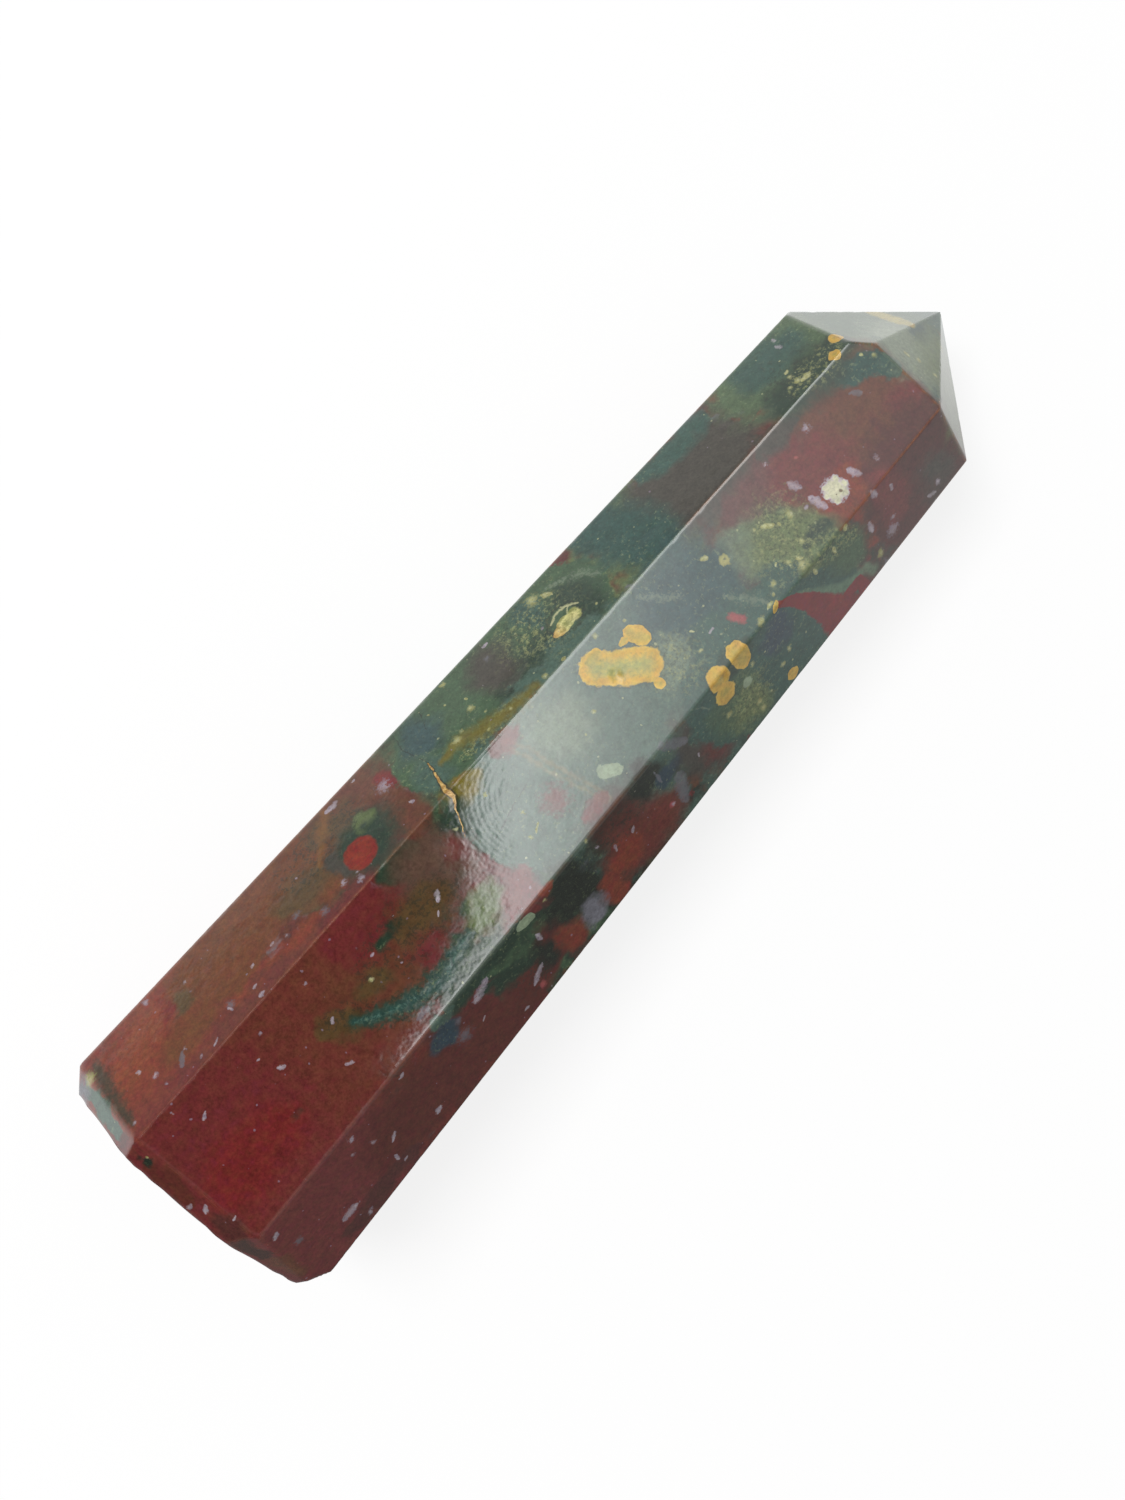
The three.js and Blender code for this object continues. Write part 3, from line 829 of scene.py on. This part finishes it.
# Ochre islands, paler and greener in the middle, with one faint patch at the point
faint = blots(colour, [(74.3, 51, 0.8, 2.3, 8)])
colour = laid(colour, inside(faint, 0.2, 1.6, 2.0), paint(180, 160, 66), 0.7)
largest = lines(colour, [(41.05, 14.8, 1.15), (41.9, 8.5, 1.1), (43.4, 0.6, 1.2)])
island = blots(largest, [
    (41.4, 18.2, 0.8, 0.5), (44.5, 11.2, 0.62, 1, 25), (43.6, 13.6, 0.45, 0.25), (43.1, -9.4, 0.4, 0.4),
    (45.9, -26.3, 0.9, 0.95), (45.7, -34.6, 0.75, 1.05, 12), (48.05, -26.6, 0.82, 1.35),
    (50.4, -63.2, 0.55, 0.45), (67.7, 27.6, 0.42, 0.46), (68.95, 34.3, 0.5, 0.55),
    (52, -25.2, 0.5, 0.2, 40), (46, 96, 1.1, 1.6, 20), (48.4, 103, 0.6, 0.8), (39.5, 152, 1.5, 1, -30),
    (42, 160, 0.6, 0.5), (62, 118, 0.8, 0.6), (36, 222, 1.2, 1.6, 30), (45.2, 262, 1.4, 0.9, -20),
    (57.5, 206, 0.8, 1)])
heartwood = ranged(number("MULTIPLY_ADD", fine_fray, 0.9, largest), 0.1, 0.75)
shade = blend(heartwood, paint(168, 168, 108), ochre)
heartwood = ranged(number("MULTIPLY_ADD", fine_fray, 1.2, island), 0.1, 0.7, 0.5, 0.0)
shade = blend(heartwood, shade, paint(152, 150, 82))
stain = ranged(with_grit(wide_fray), -0.1, 0.3, 0.0, 0.45)
shade = blend(stain, shade, paint(158, 140, 62))
shade = blend(ranged(island, 0.82, 1.0, 0.0, 0.6), shade, paint(200, 170, 84))
ochre_mask = inside(island, 0.96, 1.08, 0.5)
colour = laid(colour, inside(island, 1.02, 1.3, 0.6), dark_green, 0.45)
colour = laid(colour, ochre_mask, shade)

# Flecks strewn over the sides that the camera does not see, lilac in the red and cream in the green
greenness = how_green(colour, -0.02, 0.02)
strewn_spot = warped(mark_spot, 0.8, 1.2, 1.0)
strewn = add(tree, "ShaderNodeTexVoronoi", [("Vector", strewn_spot), ("Scale", 0.3)])
chance = add(tree, "ShaderNodeSeparateColor", [("Color", strewn.outputs["Color"])]).outputs
reach_out = number("POWER", chance["Red"], 4.0)
strewn_mask = number("SUBTRACT", times(reach_out, 0.2), strewn.outputs["Distance"])
strewn_mask = ranged(number("MULTIPLY_ADD", fine_fray, 0.09, strewn_mask), -0.01, 0.015)
strewn_mask = times(strewn_mask, ranged(above_stone, 4.4, 3.6, 0.0, 0.85))
colour = laid(colour, strewn_mask, blend(greenness, lilac, cream))

# Fine mottling, moss dust in the green, and pale dust everywhere
mottle = ranged(noise(spot, 1.3, 4.0, 0.72)["Fac"], 0.25, 0.75, 0.76, 1.24)
value = number("ADD", mottle, ranged(grit, -0.3, 0.3, -0.3, 0.3))
hue = ranged(noise(spot, 1.7, 3.0)["Fac"], 0.25, 0.75, 0.491, 0.512)
colour = add(
    tree, "ShaderNodeHueSaturation", [("Color", colour), ("Value", value), ("Hue", hue)]).outputs[0]
greenness = how_green(colour, -0.005, 0.02)
moss_dust = noise(spot, 3.4, 4.0, 0.7)["Fac"]
moss_dust = times(ranged(moss_dust, 0.56, 0.68), greenness)
moss_place = ranged(noise(spot, 0.22, 2.0)["Fac"], 0.42, 0.6, 0.12, 0.45)
moss_dust = times(moss_dust, moss_place)
colour = laid(colour, moss_dust, paint(138, 150, 108))
cells = add(tree, "ShaderNodeTexVoronoi", [("Vector", mark_spot), ("Scale", 1.5)])
chance = add(tree, "ShaderNodeSeparateColor", [("Color", cells.outputs["Color"])]).outputs
dust = number("MULTIPLY_ADD", chance["Red"], 0.16, -0.02)
dust = number("SUBTRACT", dust, cells.outputs["Distance"])
chosen = ranged(chance["Green"], 0.55, 0.6, 0.0, 0.5)
dust = times(ranged(dust, -0.03, 0.04), chosen)
colour = laid(colour, dust, blend(greenness, lilac, paint(196, 198, 150)))

# Ridges painted paler: rubbing, and a painted highlight on the eased edges; least near the foot.
edge_wear_and_highlight = add(tree, "ShaderNodeAttribute", attribute_name="edge").outputs["Fac"]
rub_and_highlight = ranged(noise(spot, 2.5, 3.0)["Fac"], 0.35, 0.65, 0.3, 0.85)
rub_and_highlight = times(edge_wear_and_highlight, rub_and_highlight)
rub_and_highlight = times(rub_and_highlight, ranged(along_stone, 12.0, 22.0, 0.2, 1.0))
rub_and_highlight = times(rub_and_highlight, ranged(along_stone, 38.0, 50.0, 1.0, 0.7))
colour = laid(colour, rub_and_highlight, blend(greenness, paint(158, 98, 54), paint(116, 124, 106)))

# The marks and the worn edges take less polish than the rest.
marks_roughness, edge_roughness = 0.16, 0.3
marks = number("MAXIMUM", number("MAXIMUM", lilac_mask, cream_mask), ochre_mask)
marks = number("MAXIMUM", marks, seam_fill)
roughness = ranged(noise(spot, 0.5, 4.0, 0.6)["Fac"], 0.3, 0.7, 0.045, 0.085)
roughness = number("MULTIPLY_ADD", marks, marks_roughness, roughness)
roughness = number("MULTIPLY_ADD", edge_wear_and_highlight, edge_roughness, roughness)

# The polish: a faint orange peel, and the rings that the wheel left beside the crack
peel = noise(spot, 1.1, 2.0, 0.6)["Fac"]
ring_middle = on_stone(32.2, 0.0)[0] * to_mm
ring_pace = 18.0
ring_fray = 0.34
ring_height = 0.045
ring_reach = (6.6, 3.4)
relief = 0.00001
out = vector("DISTANCE", spot, ring_middle)
ripple = times(number("MULTIPLY_ADD", fine_fray, ring_fray, out), ring_pace)
ripple = times(number("SINE", ripple), ranged(out, *ring_reach))
height = number("MULTIPLY_ADD", ripple, ring_height, peel)
feeds = [("Strength", 0.5), ("Distance", relief), ("Height", height)]
bump = add(tree, "ShaderNodeBump", feeds).outputs[0]

refraction = 1.54
feeds = [("Base Color", colour), ("Roughness", roughness), ("IOR", refraction), ("Normal", bump)]
finish = add(tree, "ShaderNodeBsdfPrincipled", feeds).outputs[0]
add(tree, "ShaderNodeOutputMaterial", [("Surface", finish)])

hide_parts("obelisk")
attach(stone, "root")


# The floor is a pale board under the stone. Seen in the polish of the stone it has a painted glow,
# bright towards the top of the picture, and painted shade towards the bottom, for the camera's shade.
def axes_of(tree, kind):
    place = add(tree, "ShaderNodeTexCoord").outputs[kind]
    return add(tree, "ShaderNodeSeparateXYZ", [(0, place)]).outputs


# Each painted glow is two places on the floor in metres, and how bright the polish shows it at the one
# and at the other.
floor_half = 1.5
window_slant = 0.4
window_glow = (-0.026, 0.002, 0.0, 1.6)
front_glow = (-0.075, -0.045, 0.25, 0.04)
back_glow = (0.05, 0.4, 1.6, 1.0)
point_glow = (0.008, 0.036, 0.2, 0.95)
board_grey = (0.86, 0.86, 0.86, 1)
shadow_grey = (0.19, 0.19, 0.19, 1)
shadow_lift = 0.83
floor_mesh = bpy.data.meshes.new("floor")
floor_corners = [(x * floor_half, y * floor_half, 0) for x, y in ((-1, -1), (1, -1), (1, 1), (-1, 1))]
floor_mesh.from_pydata(floor_corners, [], [(0, 1, 2, 3)])
floor = new_object("floor", floor_mesh)
board = bpy.data.materials.new("board")
tree = empty_tree(board)
path = add(tree, "ShaderNodeLightPath").outputs
axes = axes_of(tree, "Object")
footwards = number("MINIMUM", axes["X"], 0.0)
towards_window = number("MULTIPLY_ADD", footwards, window_slant, axes["Y"])
painted_glow = ranged(towards_window, *window_glow, smooth=True)
painted_glow = number("MAXIMUM", painted_glow, ranged(axes["Y"], *front_glow))
painted_glow = number("MINIMUM", painted_glow, ranged(axes["Y"], *back_glow))
painted_glow = number("MAXIMUM", painted_glow, ranged(axes["X"], *point_glow))
shine = add(tree, "ShaderNodeEmission", [("Strength", painted_glow)]).outputs[0]
pale = add(tree, "ShaderNodeBsdfDiffuse", [("Color", shadow_grey)]).outputs[0]
lift = add(tree, "ShaderNodeEmission", [("Strength", shadow_lift)]).outputs[0]
seen = add(tree, "ShaderNodeAddShader", [(0, pale), (1, lift)]).outputs[0]
plain = add(tree, "ShaderNodeBsdfDiffuse", [("Color", board_grey)]).outputs[0]
lit = add(tree, "ShaderNodeMixShader", [(0, path["Is Camera Ray"]), (1, plain), (2, seen)]).outputs[0]
lit = add(tree, "ShaderNodeMixShader", [(0, path["Is Glossy Ray"]), (1, lit), (2, shine)]).outputs[0]
add(tree, "ShaderNodeOutputMaterial", [("Surface", lit)])
floor.data.materials.append(board)


# A bright card hangs over the lower right of the picture. It shows only in the polish: its
# curved edge is the one that crosses the top flat, and it dims away from that edge.
card_height = 0.5
card_edge = [(0.086, 0.42), (0.086, 0.01), (0.077, -0.004), (0.062, -0.014), (0.053, -0.027),
             (0.039, -0.041), (0.010, -0.046), (-0.014, -0.054)]
card_back = [(-0.014, -0.42), (0.34, -0.42), (0.56, -0.10), (0.56, 0.42)]
card_fade = (0.0035, 0.0085)
card_slant = -1.2
card_start = 0.024
full_glow_to = 0.08
half_glow_every = 0.045
edge_glow = 6.4
least_glow = 1.5
card_rows = []
for x, y in card_edge:
    outward = Vector((-0.6, 0.8)) if y < 0.01 else Vector((-1.0, 0.0))
    card_rows.append((Vector((x, y)) + outward * card_fade[0], Vector((x, y)) - outward * card_fade[1]))
card_corners = [(place.x, place.y, card_height) for row in card_rows for place in row]
card_corners += [(x, y, card_height) for x, y in card_back]
card_faces = [(2 * row, 2 * row + 1, 2 * row + 3, 2 * row + 2) for row in range(len(card_rows) - 1)]
inner_edge = [2 * row + 1 for row in range(len(card_rows))]
card_faces.append(inner_edge + list(range(2 * len(card_rows), len(card_corners))))
card_mesh = bpy.data.meshes.new("card")
card_mesh.from_pydata(card_corners, [], card_faces)
fade = card_mesh.attributes.new("fade", "FLOAT", "POINT")
for index, item in enumerate(fade.data):
    item.value = 0.0 if index < 2 * len(card_rows) and index % 2 == 0 else 1.0
card = new_object("card", card_mesh)
card.visible_camera = False
card.visible_diffuse = False
card.visible_shadow = False
glow = bpy.data.materials.new("glow")
tree = empty_tree(glow)
path = add(tree, "ShaderNodeLightPath").outputs
axes = axes_of(tree, "Object")
along_card = number("SUBTRACT", axes["X"], card_start)
along_card = number("MULTIPLY_ADD", axes["Y"], card_slant, along_card)
beyond = number("SUBTRACT", number("MAXIMUM", along_card, full_glow_to), full_glow_to)
halvings = number("DIVIDE", beyond, half_glow_every)
dimming = number("MULTIPLY_ADD", number("POWER", 0.5, halvings), edge_glow, least_glow)
fade = add(tree, "ShaderNodeAttribute", attribute_name="fade").outputs["Fac"]
dimming = times(dimming, fade)
strength = times(dimming, path["Is Glossy Ray"])
bright = add(tree, "ShaderNodeEmission", [("Strength", strength)]).outputs[0]
add(tree, "ShaderNodeOutputMaterial", [("Surface", bright)])
glow.cycles.emission_sampling = "NONE"
card.data.materials.append(glow)


# The window, a large soft lamp high over the upper left of the picture, throws the faint
# shadow to the lower right. The room gives the rest of the light.
window_place = Vector((-0.10, 0.30, 0.72))
window_data = bpy.data.lights.new("window", "AREA")
window_data.shape = "SQUARE"
window_data.size = 0.3
window_data.energy = 4.0
window = new_object("window", window_data)
facing_stone = window_place.to_track_quat("Z", "Y").to_matrix().to_4x4()
window.matrix_world = Matrix.Translation(window_place) @ facing_stone
window.visible_glossy = False

# Each of these is two ways to look, as the share of a direction that points up or towards the
# stone's point, and how bright the polish shows the room there.
overhead = (0.9, 0.985, 1.0, 0.12)
foot_side = (-0.6, -0.25, 0.2, 1.0)
point_side = (0.1, 0.6, 0.0, 1.0)
walls_glow = 0.62
point_side_glow = 0.8
room_light = 0.4
room = bpy.data.worlds.new("room")
scene.world = room
tree = empty_tree(room)
path = add(tree, "ShaderNodeLightPath").outputs
axes = axes_of(tree, "Generated")
mirrored = times(ranged(axes["Z"], *overhead), walls_glow)
mirrored = times(mirrored, ranged(axes["X"], *foot_side))
mirrored = number("MULTIPLY_ADD", ranged(axes["X"], *point_side), point_side_glow, mirrored)
mirrored = times(mirrored, path["Is Glossy Ray"])
other = number("SUBTRACT", 1.0, path["Is Glossy Ray"])
around = number("MULTIPLY_ADD", path["Is Camera Ray"], 1 - room_light, room_light)
other = times(other, around)
strength = number("ADD", mirrored, other)
background = add(tree, "ShaderNodeBackground", [("Strength", strength)]).outputs[0]
add(tree, "ShaderNodeOutputWorld", [("Surface", background)])
